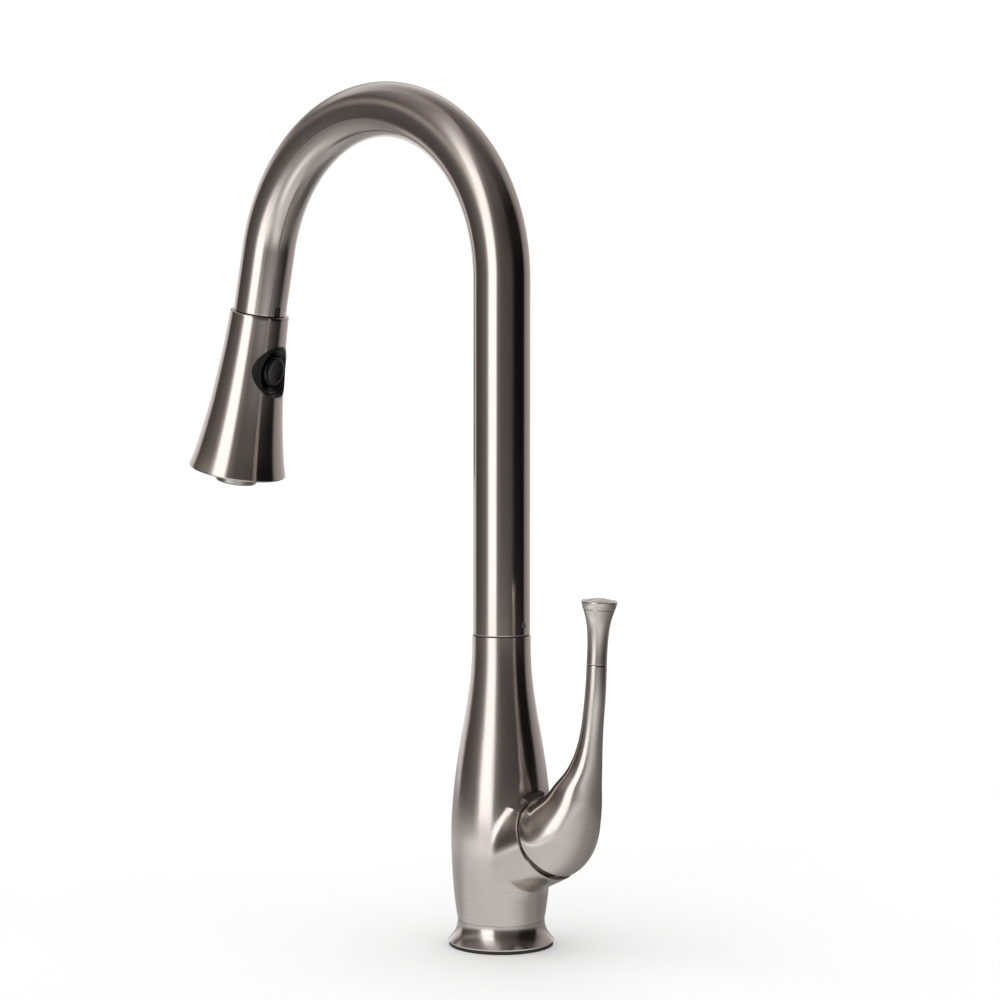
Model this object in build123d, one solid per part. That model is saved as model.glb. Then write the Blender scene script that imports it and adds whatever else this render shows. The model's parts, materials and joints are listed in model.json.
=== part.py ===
"""Pull-down kitchen faucet: one-hole body, gooseneck spout, side lever and docking spray head.

Millimetres, +Z up. The origin is the centre of the gasket's underside, on the column's axis.
The spout reaches towards -X and the lever stands on the +X side, so XZ is the plane of symmetry.
"""

from build123d import *
from math import cos, pi, radians, sin, sqrt
import os

# ---------------------------------------------------------------- driving dimensions
RUN_GAP = 0.05          # radial clearance of a running fit
CLEAR = 0.3             # clearance between pieces that move past each other

# column and spout
TUBE_R = 14.0           # spout tube, outer radius
TUBE_WALL = 1.2
TUBE_FOOT_Z = 150.75    # lower end of the spout tube
RISER_TOP_Z = 322.5     # where the gooseneck's arc begins
ARC_R = 86.4            # centreline radius of the gooseneck
ARC_SWEEP = 167.5       # degrees, so the outlet leans outwards by 12.5
WAND_LENGTH = 34.3      # from the arc's end to the spray head's upper rim

# base
GASKET_T = 1.5
GASKET_R = 25.2
FLANGE_R = 25.7
BODY_FOOT_Z = 12.6      # seam between flange and body
BODY_FOOT_R = 21.1
BODY_TOP_Z = 150.4
BODY_TOP_R = 14.3
BODY_WALL = 2.8
PASSAGE_R = 18.6        # hose passage through the foot
PASSAGE_HALF = 12.6     # half of the passage's width, between the two stud lands
STUD_Y = 16.4           # mounting studs, at plus and minus this
STUD_TAP_R = 2.5        # M6 tapping hole
STUD_CLEAR_R = 3.3
FOOT_T = 8.0            # thickness of the tapped foot

# valve barrel, tilted up from the column
BARREL_Z = 39.6         # height at which the barrel's axis leaves the column's axis
BARREL_TILT = 25.8      # degrees above the horizontal
BARREL_R = 20.35
NECK_FILLET = 9.0       # where the barrel leaves the column
BARREL_S = 35.0         # mouth of the barrel, along its axis
SOCKET_R = 12.65
SOCKET_FLOOR_S = 12.0
NUT_R = 13.45           # thread radius of the retaining nut
PIVOT_S = 38.6          # the lever's pivot and the centre of its spherical skirt
SKIRT_R = 19.75         # skirt of the lever, outside
SKIRT_INNER_R = 18.1
BONNET_R = 17.5
GROOVE_FLOOR_S = 30.8
PORT_X = 11.2           # hot and cold inlets
PORT_Y = 6.2
PORT_TAP_R = 4.5        # M10 x 1 tapping hole
PORT_TAP_DEPTH = 10.0
PORT_BORE_R = 2.6
OUTLET_X = 2.0          # mixed-water outlet
BLOCK_FOOT_Z = 24.0     # underside of the valve block
BLOCK_BACK_X = -7.0     # back of the valve block, beside the hose
STEM_W = 4.4
STEM_H = 6.0
DRIVER_S = 28.0         # where the stem's tip drives the moving disc
DISC_OFFSET = -2.2      # the moving disc's rest position across the barrel

# hose
HOSE_R = 5.3
HOSE_BORE_R = 3.4
HOSE_X = -12.8          # where the hose passes behind the valve block

# spray head, measured down its own axis from its upper rim
HEAD_LENGTH = 86.2
HEAD_TOP_R = 15.7
HEAD_WALL = 1.5
HEAD_TURN = 12.0        # degrees the docked head is turned about its own axis
BUTTON_T = 28.9
BEZEL_R = 13.9
BUTTON_R = 8.2
BUTTON_FACE = 15.8      # face of the button, from the head's axis
NECK_R = 9.4            # docking neck of the head
NECK_RISE = 15.0
AERATOR_R = 11.2

# lever
KNOB_Z = 141.4          # seam between lever and knob
KNOB_X = 62.3
KNOB_LEAN = 3.1         # degrees outwards


# ---------------------------------------------------------------- frames
TILT = radians(BARREL_TILT)
BARREL = Plane(
    origin=(0, 0, BARREL_Z),
    x_dir=(-sin(TILT), 0, cos(TILT)),
    z_dir=(cos(TILT), 0, sin(TILT)),
)
SWEEP = radians(ARC_SWEEP)
ARC_END = Vector(-ARC_R + ARC_R * cos(SWEEP), 0, RISER_TOP_Z + ARC_R * sin(SWEEP))
WAND = Vector(-sin(SWEEP), 0, cos(SWEEP))
HEAD_TOP = ARC_END + WAND * WAND_LENGTH
OUTLET = Plane(
    origin=HEAD_TOP,
    x_dir=(-cos(SWEEP), 0, -sin(SWEEP)),
    z_dir=(sin(SWEEP), 0, -cos(SWEEP)),
)
KNOB = Plane(
    origin=(KNOB_X, 0, KNOB_Z),
    x_dir=(cos(radians(KNOB_LEAN)), 0, -sin(radians(KNOB_LEAN))),
    z_dir=(sin(radians(KNOB_LEAN)), 0, cos(radians(KNOB_LEAN))),
)


def barrel_point(s, u):
    """World (x, z) of the point s along the barrel's axis and u above it."""
    return s * cos(TILT) - u * sin(TILT), BARREL_Z + s * sin(TILT) + u * cos(TILT)


# ---------------------------------------------------------------- helpers
def rod(r, low, high, x=0.0, y=0.0):
    """Solid cylinder between two heights."""
    return Pos(x, y, low) * Cylinder(r, high - low, align=(Align.CENTER, Align.CENTER, Align.MIN))


def ring(r_out, r_in, low, high, x=0.0, y=0.0):
    """Plain ring between two heights."""
    return rod(r_out, low, high, x, y) - rod(r_in, low - 1, high + 1, x, y)


def block(x0, x1, y0, y1, z0, z1):
    """Box between two corners."""
    return Pos(x0, y0, z0) * Box(x1 - x0, y1 - y0, z1 - z0, align=(Align.MIN, Align.MIN, Align.MIN))


def turned(points):
    """Solid of revolution about Z of a polygon of (r, z) points."""
    outline = Polyline(*[(r, 0, z) for r, z in points], close=True)
    return revolve(make_face(outline), Axis.Z)


def turned_curve(curve, inner):
    """Solid of revolution: a smooth (r, z) curve, closed through the inner (r, z) points."""
    side = Spline(*[(r, 0, z) for r, z in curve])
    back = Polyline((curve[-1][0], 0, curve[-1][1]), *[(r, 0, z) for r, z in inner],
                    (curve[0][0], 0, curve[0][1]))
    return revolve(make_face([side, back]), Axis.Z)


def o_ring(r_mid, r_section, z, x=0.0, y=0.0):
    """Torus lying flat."""
    return Pos(x, y, z) * Torus(r_mid, r_section)


def in_barrel(shape):
    return BARREL.location * shape


def in_outlet(shape):
    return OUTLET.location * shape


def in_head(shape):
    return in_outlet(Rot(0, 0, HEAD_TURN) * shape)


def in_knob(shape):
    return KNOB.location * shape


# ---------------------------------------------------------------- base
def passage(low, high):
    """Opening for the hoses through the foot, between two flat stud lands."""
    return rod(PASSAGE_R, low, high) & block(-30, 30, -PASSAGE_HALF, PASSAGE_HALF, low, high)


def stud_holes(r, low, high):
    return rod(r, low, high, y=STUD_Y) + rod(r, low, high, y=-STUD_Y)


def deck_gasket():
    disc = rod(GASKET_R, 0, GASKET_T)
    return disc - passage(-1, GASKET_T + 1) - stud_holes(STUD_CLEAR_R, -1, GASKET_T + 1)


def base_flange():
    low, high = GASKET_T + 0.02, BODY_FOOT_Z - 0.15
    flare = [(FLANGE_R, low + 0.7), (24.0, low + 2.6), (22.3, low + 5.3), (21.4, low + 8.0),
             (BODY_FOOT_R, high)]
    shape = turned_curve(flare, [(0, high), (0, low), (FLANGE_R - 0.5, low)])
    return shape - passage(low - 1, high + 1) - stud_holes(STUD_CLEAR_R, low - 1, high + 1)


BODY_CURVE = [(BODY_FOOT_R, BODY_FOOT_Z), (22.5, 21.8), (23.9, 40.0), (24.3, 53.5), (23.2, 74.0),
              (20.1, 97.3), (16.6, 118.0), (14.85, 133.0), (14.35, 143.0), (BODY_TOP_R, BODY_TOP_Z)]


def body_outside():
    column = turned_curve(BODY_CURVE, [(0, BODY_TOP_Z), (0, BODY_FOOT_Z)])
    barrel = rod(BARREL_R, 0, BARREL_S)
    barrel = chamfer(barrel.edges().sort_by(Axis.Z)[-1], 0.4)
    shape = column + in_barrel(barrel)
    mouth = Plane(BARREL.origin, z_dir=BARREL.z_dir)
    seam = [e for e in shape.edges() if e.geom_type not in (GeomType.CIRCLE, GeomType.LINE)
            and e.length > 40 and abs(mouth.to_local_coords(e.center()).Z - BARREL_S) > 2]
    seam = [e for e in seam if e.center().X > 5]
    return fillet(seam, NECK_FILLET) if seam else shape


def body_cavity():
    """The hollow column, with the valve block and the cartridge's socket left standing in it."""
    foot = BODY_FOOT_Z + FOOT_T
    curve = [(19.0, foot), (20.9, 40.0), (21.3, 53.5), (20.2, 74.0), (17.1, 97.3), (13.4, 118.0), (11.6, 130.0)]
    hollow = turned_curve(curve, [(0, 130.0), (0, foot)])
    valve_block = block(BLOCK_BACK_X, 40, -40, 40, BLOCK_FOOT_Z, 60)
    socket = in_barrel(rod(SOCKET_R + 3.2, 4, BARREL_S))
    return hollow - valve_block - socket


def valve_ports():
    """Hot and cold inlets and the mixed outlet, tapped from below."""
    tap_top = BLOCK_FOOT_Z + PORT_TAP_DEPTH
    cut = None
    for x, y, top in ((PORT_X, PORT_Y, 42.5), (PORT_X, -PORT_Y, 42.5), (OUTLET_X, 0, 49.0)):
        hole = rod(PORT_TAP_R, BLOCK_FOOT_Z - 1, tap_top, x, y) + rod(PORT_BORE_R, tap_top, top, x, y)
        cut = hole if cut is None else cut + hole
    return cut + in_barrel(rod(PORT_BORE_R, 5.5, SOCKET_FLOOR_S + 1, x=6.0))


def skirt_groove():
    """Spherical groove in the barrel's mouth that the lever's skirt turns into."""
    centre = Pos(0, 0, PIVOT_S)
    outer = centre * Sphere(SKIRT_R + CLEAR)
    inner = centre * Sphere(SKIRT_INNER_R - CLEAR - 0.05)
    zone = rod(30, GROOVE_FLOOR_S, BARREL_S + 30)
    return in_barrel((outer - inner) & zone) + in_barrel(rod(24.0, BARREL_S, BARREL_S + 30))


def faucet_body():
    shape = body_outside() - body_cavity()
    shape -= rod(11.6, 129.5, BODY_TOP_Z + 1)
    shape -= passage(BODY_FOOT_Z - 1, BODY_FOOT_Z + FOOT_T + 0.5)
    shape -= stud_holes(STUD_TAP_R, BODY_FOOT_Z - 1, BODY_FOOT_Z + FOOT_T + 1)
    shape -= in_barrel(rod(SOCKET_R, SOCKET_FLOOR_S, BARREL_S + 1))
    shape -= in_barrel(rod(NUT_R + RUN_GAP, 27.0, BARREL_S + 1))
    shape -= skirt_groove()
    return shape - valve_ports()


# ---------------------------------------------------------------- cartridge
DISC_PORTS = ((-5.0, 6.2), (-5.0, -6.2), (6.0, 0.0))


def disc_ports(r, low, high):
    cut = rod(r, low, high, *DISC_PORTS[0])
    for u, v in DISC_PORTS[1:]:
        cut += rod(r, low, high, u, v)
    return cut


def cartridge_body():
    low = SOCKET_FLOOR_S + 0.5
    shape = rod(SOCKET_R - 0.1, low, 33.0)
    shape -= rod(11.2, 20.0, 31.6)
    shape -= rod(8.0, 31.0, 34.0)
    shape -= disc_ports(PORT_BORE_R, low - 1, 21.0)
    for u, v in DISC_PORTS:
        shape -= ring(4.0, PORT_BORE_R, low - 1, low + 1.0, u, v)
    return in_barrel(shape)


def port_seals():
    seals = []
    for u, v in DISC_PORTS:
        seals.append(in_barrel(o_ring(3.3, 0.65, SOCKET_FLOOR_S + 0.75, u, v)))
    return Compound(children=seals)


def fixed_disc():
    return in_barrel(rod(11.0, 20.05, 23.0) - disc_ports(2.4, 19.0, 24.0))


def moving_disc():
    """Sliding ceramic disc, with the mixing pocket in its underside."""
    shape = rod(8.2, 23.05, 26.0, x=DISC_OFFSET)
    return in_barrel(shape - rod(5.0, 22.0, 24.4, x=DISC_OFFSET + 1.0))


def disc_driver():
    """Plastic slide on the moving disc, with a pocket for the stem's tip."""
    shape = rod(7.8, 26.05, 29.0, x=DISC_OFFSET)
    pocket = block(-2.4, 2.4, -2.7, 2.7, 26.9, 30.0)
    return in_barrel(shape - pocket)


def stem_slot():
    """Room for the stem to swing in, inside the carrier."""
    return block(-6.4, 6.4, -STEM_W / 2 - CLEAR, STEM_W / 2 + CLEAR, 25, 50)


def cartridge_carrier():
    shape = rod(10.9, 29.3, 31.3) + rod(7.6, 31.0, 43.0)
    shape -= stem_slot()
    shape -= Pos(0, 0, PIVOT_S) * Rot(90, 0, 0) * Cylinder(1.55, 30)
    return in_barrel(shape)


def pivot_pin():
    pin = Pos(0, 0, PIVOT_S) * Rot(90, 0, 0) * Cylinder(1.5, 14.4)
    return in_barrel(pin)


def retaining_nut():
    shape = ring(NUT_R, 8.9, 33.05, 37.0)
    for k in range(4):
        shape -= Rot(0, 0, 45 + 90 * k) * block(11.4, 15, -1.5, 1.5, 35.4, 38)
    return in_barrel(shape)


def cartridge_bonnet():
    """Spherical cover over the nut, inside the lever's skirt."""
    centre = Pos(0, 0, PIVOT_S)
    shell = centre * Sphere(BONNET_R) - centre * Sphere(BONNET_R - 1.4)
    shell &= rod(30, BARREL_S + 0.1, 49.2)
    return in_barrel(shell + ring(16.6, 14.3, BARREL_S + 0.1, 37.0))


# ---------------------------------------------------------------- lever
def control_stem():
    """Steel lever of the cartridge, on its pin, with a rounded tip in the driver."""
    bar = block(-STEM_H / 2, STEM_H / 2, -STEM_W / 2, STEM_W / 2, 31.0, 61.0)
    tip = block(-1.7, 1.7, -STEM_W / 2, STEM_W / 2, DRIVER_S - 0.6, 32.0)
    bar += tip + Pos(0, 0, PIVOT_S) * Rot(90, 0, 0) * Cylinder(3.6, STEM_W)
    bar -= Pos(0, 0, PIVOT_S) * Rot(90, 0, 0) * Cylinder(1.5 + RUN_GAP, 20)
    return in_barrel(bar)


# Section circles of the lever's blank: centre x, centre z, radius and the section's lean from
# the horizontal. They fan out about a line above the barrel, then stand level up the arm.
FAN = Vector(18.0, 0, 82.8)
FAN_SECTIONS = ((-48.0, 12.6, 50.3), (-37.0, 13.7, 48.3), (-25.0, 15.3, 45.7), (-12.0, 18.0, 44.2),
                (0.0, 21.0, 43.8))
ARM_SECTIONS = ((53.6, 88.8, 9.1), (57.6, 100.6, 6.35), (59.9, 114.0, 5.2), (61.3, 126.0, 5.0),
                (62.0, 135.0, 4.9), (KNOB_X, KNOB_Z - 0.1, 4.9))


def section_circle(x, z, r, lean):
    """Circle about (x, z) whose plane is tipped by lean degrees about Y."""
    a = radians(lean)
    plane = Plane(origin=(x, 0, z), x_dir=(cos(a), 0, sin(a)), z_dir=(-sin(a), 0, cos(a)))
    return plane * Circle(r)


SCREW_S = 54.5          # set screw that clamps the lever on the stem, along the barrel


def screw_rod(r, low, high):
    """Cylinder across the barrel at the set screw, from v = low to v = high."""
    return Pos(0, (low + high) / 2, SCREW_S) * Rot(90, 0, 0) * Cylinder(r, high - low)


def skirt_circle(s):
    """Section of the skirt's sphere at s along the barrel's axis."""
    x, z = barrel_point(s, 0)
    return section_circle(x, z, sqrt(SKIRT_R**2 - (s - PIVOT_S) ** 2), BARREL_TILT - 90)


def lever_blank():
    """Pear-shaped lever: a round skirt about the pivot, drawn out into a slim upright arm."""
    sections = [skirt_circle(s) for s in (BARREL_S + 0.35, PIVOT_S - 1.6, PIVOT_S)]
    for angle, inner, outer in FAN_SECTIONS:
        a = radians(angle)
        middle = (inner + outer) / 2
        sections.append(section_circle(FAN.X + middle * cos(a), FAN.Z + middle * sin(a),
                                       (outer - inner) / 2, angle))
    for cx, cz, r in ARM_SECTIONS[:-1]:
        sections.append(section_circle(cx, cz, r, 0))
    cx, cz, r = ARM_SECTIONS[-1]
    sections.append(section_circle(cx, cz, r, -KNOB_LEAN))
    return loft(sections)


def lever_cavity():
    """Room for the bonnet and for the stem's swing."""
    return in_barrel(Pos(0, 0, PIVOT_S) * Sphere(SKIRT_INNER_R))


def skirt_relief():
    """Wedge off the skirt's lower edge, so that the lever can tip outwards."""
    face = make_face(Polyline(*[(u, 0, s) for s, u in ((25, -1.0), (PIVOT_S - 3.2, -1.0),
                     (PIVOT_S + 1.0, -SKIRT_R), (PIVOT_S + 1.0, -30), (25, -30))], close=True))
    return in_barrel(extrude(face, 40, both=True))


def handle_lever():
    shape = lever_blank()
    shape -= lever_cavity()
    hub = in_barrel(rod(5.4, 50.0, 58.0))
    shape += hub
    shape -= skirt_relief()
    socket = block(-STEM_H / 2 - 0.03, STEM_H / 2 + 0.03, -STEM_W / 2 - 0.03, STEM_W / 2 + 0.03, 45, 61.1)
    shape -= in_barrel(socket)
    shape -= in_barrel(screw_rod(2.1, -22.0, -2.0))
    shape -= in_knob(rod(2.1, -9.0, 1))
    return shape


def handle_set_screw():
    """Short grub screw that clamps the stem, clear of the bonnet when the lever tips."""
    outer, inner = -5.4, -2.3
    screw = screw_rod(2.05, outer, inner)
    hexagon = Pos(0, outer, SCREW_S) * Rot(90, 0, 0) * extrude(RegularPolygon(1.1, 6), 1.5, both=True)
    return in_barrel(screw - hexagon)


def handle_knob():
    curve = [(4.9, 0.15), (4.85, 6.0), (5.15, 14.0), (6.2, 21.5), (7.6, 26.3)]
    side = turned_curve(curve, [(0, 26.3), (0, 0.15)])
    groove = turned([(6.9, 26.0), (9, 26.0), (9, 26.3), (6.9, 26.3)])
    head = turned_curve([(7.72, 26.3), (8.25, 28.0), (8.6, 30.0)], [(0, 30.0), (0, 26.3)])
    shape = side - groove + head
    return in_knob(shape - rod(2.1, -1, 9.0) - rod(7.9, 29.2, 31))


def knob_stud():
    return in_knob(rod(2.05, -8.8, 8.8))


def knob_cap():
    low, radius = 29.25, 19.0
    dome = Pos(0, 0, 31.4 - radius) * Sphere(radius)
    return in_knob(dome & rod(7.85, low, 40))


# ---------------------------------------------------------------- spout
def spout_line(start_z, wand_end):
    """Centreline of the gooseneck from a height on the riser to a length down the wand."""
    centre = Vector(-ARC_R, 0, RISER_TOP_Z)
    half = SWEEP / 2
    crest = centre + Vector(ARC_R * cos(half), 0, ARC_R * sin(half))
    riser = Line((0, 0, start_z), (0, 0, RISER_TOP_Z))
    bend = ThreePointArc((0, 0, RISER_TOP_Z), crest, ARC_END)
    if wand_end <= 0:
        return Wire([riser.edge(), bend.edge()])
    wand = Line(ARC_END, ARC_END + WAND * wand_end)
    return Wire([riser.edge(), bend.edge(), wand.edge()])


def swept(r, line):
    foot = Plane(origin=line @ 0, z_dir=line % 0)
    return sweep(foot * Circle(r), path=line)


NOTCH_HALF = 1.9


def dock_notch():
    """U-shaped notch in the tube's outlet end, facing the column."""
    slot = block(8, 20, -NOTCH_HALF, NOTCH_HALF, -1, 4.0)
    slot += Pos(14, 0, 4.0) * Rot(0, 90, 0) * Cylinder(NOTCH_HALF, 12)
    return in_outlet(slot)


SET_SCREW_Z = 156.0
SET_SCREW_TURN = 5.0    # degrees from +X


def set_screw_rod(r, inner, outer):
    return Pos(0, 0, SET_SCREW_Z) * Rot(0, 0, SET_SCREW_TURN) * Rot(0, 90, 0) * rod(r, inner, outer)


def spout_tube():
    line = spout_line(TUBE_FOOT_Z + 0.05, WAND_LENGTH - 0.3)
    shape = swept(TUBE_R, line) - swept(TUBE_R - TUBE_WALL, line)
    return shape - dock_notch() - set_screw_rod(1.55, 8, 20)


def spout_set_screw():
    screw = set_screw_rod(1.5, 11.1, TUBE_R - 0.25)
    return screw - set_screw_rod(0.75, TUBE_R - 1.6, TUBE_R + 1)


def dock_insert():
    """Plastic guide in the spout's outlet, with the tab that snaps into the notch."""
    r_in = NECK_R + CLEAR + 0.1
    r_out = TUBE_R - TUBE_WALL - RUN_GAP
    sleeve = ring(r_out, r_in, 0.5, 22.0)
    funnel = ring(r_out, HOSE_R + 1.0, 22.0, 24.0)
    tab = block(12.0, TUBE_R - 0.8, -NOTCH_HALF + CLEAR, NOTCH_HALF - CLEAR, 0.7, 4.2)
    return in_outlet(sleeve + funnel + tab)


def spout_adapter():
    """Brass post in the body's neck that the spout turns on."""
    post_r = TUBE_R - TUBE_WALL - RUN_GAP
    stem = ring(11.5, 8.6, 132.0, BODY_TOP_Z)
    post = ring(post_r, 8.6, BODY_TOP_Z + 0.37, 182.0) + ring(11.5, 8.6, BODY_TOP_Z - 1, BODY_TOP_Z + 1)
    post -= ring(post_r + 2, 11.0, SET_SCREW_Z - 1.8, SET_SCREW_Z + 1.8)
    for z in (165.0, 174.0):
        post -= ring(post_r + 2, post_r - 1.7, z - 1.2, z + 1.2)
    return stem + post


def spout_o_rings():
    mid = TUBE_R - TUBE_WALL - 0.9
    return Compound(children=[o_ring(mid, 0.78, 165.0), o_ring(mid, 0.78, 174.0)])


def glide_ring():
    return ring(TUBE_R - 0.4, 11.6, BODY_TOP_Z + 0.02, BODY_TOP_Z + 0.35)


# ---------------------------------------------------------------- hose
def hose_lower():
    """From the tail fitting, behind the valve block, up into the swivel post."""
    line = FilletPolyline((HOSE_X, 0, 23.0), (HOSE_X, 0, 66.0), (0, 0, 116.0), (0, 0, 150.6), radius=60.0)
    return swept(HOSE_R, line) - swept(HOSE_BORE_R, line)


def hose_tail_fitting():
    shape = rod(HOSE_R, 3.0, 22.95, x=HOSE_X)
    for z in (15.0, 17.5, 20.0):
        shape -= ring(HOSE_R + 1, HOSE_R - 0.5, z - 0.4, z + 0.4, x=HOSE_X)
    return shape - rod(2.6, 2, 24, x=HOSE_X)


def hose_upper():
    line = spout_line(151.0, 0)
    return swept(HOSE_R, line) - swept(HOSE_BORE_R, line)


def hose_pull_section():
    """The part of the hose that the pull-down stretches out of the wand."""
    return in_head(ring(HOSE_R, HOSE_BORE_R, 26.0, WAND_LENGTH - 0.4))


def hose_ferrule():
    return in_head(ring(HOSE_R + 0.6, HOSE_R + 0.02, 14.0, 24.6) + ring(HOSE_R + 0.6, HOSE_BORE_R, 24.6, 25.9))


# ---------------------------------------------------------------- spray head
HEAD_CURVE = [(HEAD_TOP_R, -0.4), (16.6, -18.0), (17.95, -34.5), (19.7, -51.0), (22.1, -67.0), (24.85, -81.0),
              (26.0, -85.4)]


def head_shell():
    outer = turned_curve(HEAD_CURVE, [(25.85, -86.0), (25.5, -HEAD_LENGTH), (0, -HEAD_LENGTH), (0, 0),
                                      (HEAD_TOP_R - 0.4, 0)])
    inner = turned_curve([(r - HEAD_WALL, z) for r, z in [(HEAD_TOP_R, -2.2)] + HEAD_CURVE[1:]],
                         [(HEAD_CURVE[-1][0] - HEAD_WALL, -90), (0, -90), (0, -2.2)])
    shape = outer - inner - rod(12.2, -5, 1)
    return in_head(shape - Pos(13, 0, -BUTTON_T) * Rot(0, 90, 0) * Cylinder(BEZEL_R - 0.6, 20))


def head_core():
    """Plastic waterway: docking neck, chamber behind the button and the flared outlet."""
    outside = turned([(NECK_R, NECK_RISE), (NECK_R, -0.3), (12.1, -0.6), (12.1, -2.3), (12.6, -2.9), (13.2, -10.0),
                      (13.2, -58.0), (20.9, -74.0), (22.2, -80.0), (0, -80.0), (0, NECK_RISE)])
    bore = turned([(0, NECK_RISE + 1), (6.3, NECK_RISE + 1), (6.3, -6.0), (4.0, -8.0), (4.0, -56.0), (17.0, -76.0),
                   (18.0, -81.0), (0, -81.0)])
    recess = Pos(12.0, 0, -BUTTON_T) * Rot(0, 90, 0) * Cylinder(BEZEL_R + 0.3, 10)
    spool = Pos(3.0, 0, -BUTTON_T) * Rot(0, 90, 0) * Cylinder(4.3, 16)
    clip_groove = ring(7.4, 5.0, 9.3, 10.5)
    return in_head(outside - bore - recess - spool - clip_groove)


def neck_washer():
    return in_head(ring(5.9, 3.4, -5.9, -4.5))


def hose_end_fitting():
    """Hose's end piece: barbed stem, collar and the plug that turns in the head's neck."""
    shape = turned([(2.3, 25.5), (3.35, 25.5), (3.35, 13.9), (5.0, 13.9), (5.0, 9.0), (5.9, 9.0), (5.9, 8.5),
                    (5.0, 8.3), (5.0, 6.7), (5.9, 6.5), (5.9, -4.0), (2.3, -4.0)])
    return in_head(shape)


def swivel_seal():
    return in_head(o_ring(5.65, 0.5, 7.5))


def retaining_clip():
    """Spring clip that holds the hose's end in the neck and lets it turn."""
    clip = ring(7.3, 5.2, 9.4, 10.4) - block(0, 12, -2.0, 2.0, 9, 11)
    return in_head(clip)


def check_valve():
    body = ring(3.9, 2.6, -22.0, -10.0)
    disc = rod(2.5, -18.0, -16.8)
    guide = rod(0.7, -21.5, -11.0)
    spider = block(-3.0, 3.0, -0.5, 0.5, -12.4, -11.2)
    return in_head(body + disc + guide + spider)


def bezel_profile(grow):
    """Head-shaped solid of revolution, grown outwards, for the bezel's saddle surface."""
    return turned_curve([(r + grow, z) for r, z in HEAD_CURVE],
                        [(0, HEAD_CURVE[-1][1]), (0, HEAD_CURVE[0][1])])


def across_head(x, shape):
    """A shape on the Z axis laid along the button's axis, its zero at x from the head's axis."""
    return Pos(x, 0, -BUTTON_T) * Rot(0, 90, 0) * shape


def button_bezel():
    """Black ring round the button: a rim flatter than the head's curve, and a dished face."""
    disc = across_head(13.0, Cylinder(BEZEL_R - 0.65, 11.6))
    rim = across_head(13.0, Cylinder(BEZEL_R, 11.6)) - bezel_profile(0.03)
    saddle = Pos(-9.9, 0, -BUTTON_T) * Cylinder(25.6, 40)
    lifted = across_head(13.0, Cylinder(BEZEL_R, 11.6)) & (saddle - bezel_profile(0.03))
    shape = (disc + rim) & bezel_profile(0.2)
    shape += lifted
    dish = Pos(26.4, 0, -BUTTON_T) * Sphere(15.9)
    steps = Pos(26.4, 0, -BUTTON_T) * Sphere(16.3)
    steps &= across_head(13.0, ring(10.5, 10.0, -6, 6) + ring(12.2, 11.7, -6, 6))
    well = across_head(13.0, Cylinder(BUTTON_R + CLEAR, 20))
    return in_head(shape - dish - steps - well)


def mode_button():
    foot = 11.1
    cap = across_head(foot, rod(BUTTON_R, 0, BUTTON_FACE - foot))
    cap = fillet(cap.edges().sort_by(Axis.X)[-1], 1.4)
    dish = Pos(BUTTON_FACE + 29.4, 0, -BUTTON_T) * Sphere(30.0)
    stem = across_head(2.0, rod(1.5, 0, 9.2))
    return in_head(cap - dish + stem)


def diverter_spool():
    """Two-land spool on the button's stem that sends the water to jet or to spray."""
    spool = ring(3.9, 1.55, 0, 1.6) + ring(3.9, 1.55, 4.4, 6.0) + ring(2.6, 1.55, 0, 6.0)
    return in_head(Pos(-3.4 + 5.5, 0, -BUTTON_T) * Rot(0, 90, 0) * spool)


def button_spring():
    coil_r, wire_r, pitch, turns_n = 5.6, 0.35, 0.95, 2.2
    line = Helix(pitch=pitch, height=pitch * turns_n, radius=coil_r)
    start = Plane(origin=line @ 0, z_dir=line % 0)
    coil = sweep(start * Circle(wire_r), path=line, is_frenet=True)
    return in_head(Pos(8.3, 0, -BUTTON_T) * Rot(0, 90, 0) * coil)


NOZZLE_R = 16.2
NOZZLE_COUNT = 18


def nozzle_places():
    return [(NOZZLE_R * cos(2 * pi * k / NOZZLE_COUNT), NOZZLE_R * sin(2 * pi * k / NOZZLE_COUNT))
            for k in range(NOZZLE_COUNT)]


def spray_face():
    """Face plate, with a hole for each nozzle and the seat of the aerator."""
    plate = turned([(AERATOR_R + 0.1, -83.0), (AERATOR_R + 0.1, -84.9), (23.9, -85.2), (23.5, -83.9), (22.1, -82.0),
                    (22.1, -80.1), (18.2, -80.1), (17.9, -83.0)])
    for x, y in nozzle_places():
        plate -= rod(1.25, -90, -70, x, y)
    return in_head(plate)


def spray_nozzles():
    """Rubber nozzle ring: one skirted tip for each hole of the face."""
    tips = [in_head(rod(1.2, -86.8, -82.5, x, y) - rod(0.45, -90, -80, x, y)) for x, y in nozzle_places()]
    carrier = ring(17.7, 14.6, -82.85, -81.85)
    for x, y in nozzle_places():
        carrier -= rod(0.45, -90, -80, x, y)
    carrier = in_head(carrier)
    for tip in tips:
        carrier += tip
    return carrier


def aerator_housing():
    shape = turned([(8.9, -79.0), (AERATOR_R, -79.0), (AERATOR_R, -91.3), (AERATOR_R - 0.8, -92.1), (8.6, -92.1),
                    (8.6, -91.1), (8.9, -91.1)])
    return in_head(shape)


def aerator_insert():
    """Flow straightener: a cup with a grid of square cells."""
    shape = ring(8.8, 7.9, -90.9, -81.0)
    grid = None
    for k in range(-3, 4):
        for bar in (block(2.2 * k - 0.25, 2.2 * k + 0.25, -9, 9, -90.9, -86.7),
                    block(-9, 9, 2.2 * k - 0.25, 2.2 * k + 0.25, -90.9, -86.7)):
            grid = bar if grid is None else grid + bar
    return in_head(shape + (grid & rod(8.2, -92, -80)))


def aerator_washer():
    return in_head(ring(AERATOR_R - 0.4, 7.0, -78.9, -77.4))


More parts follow.
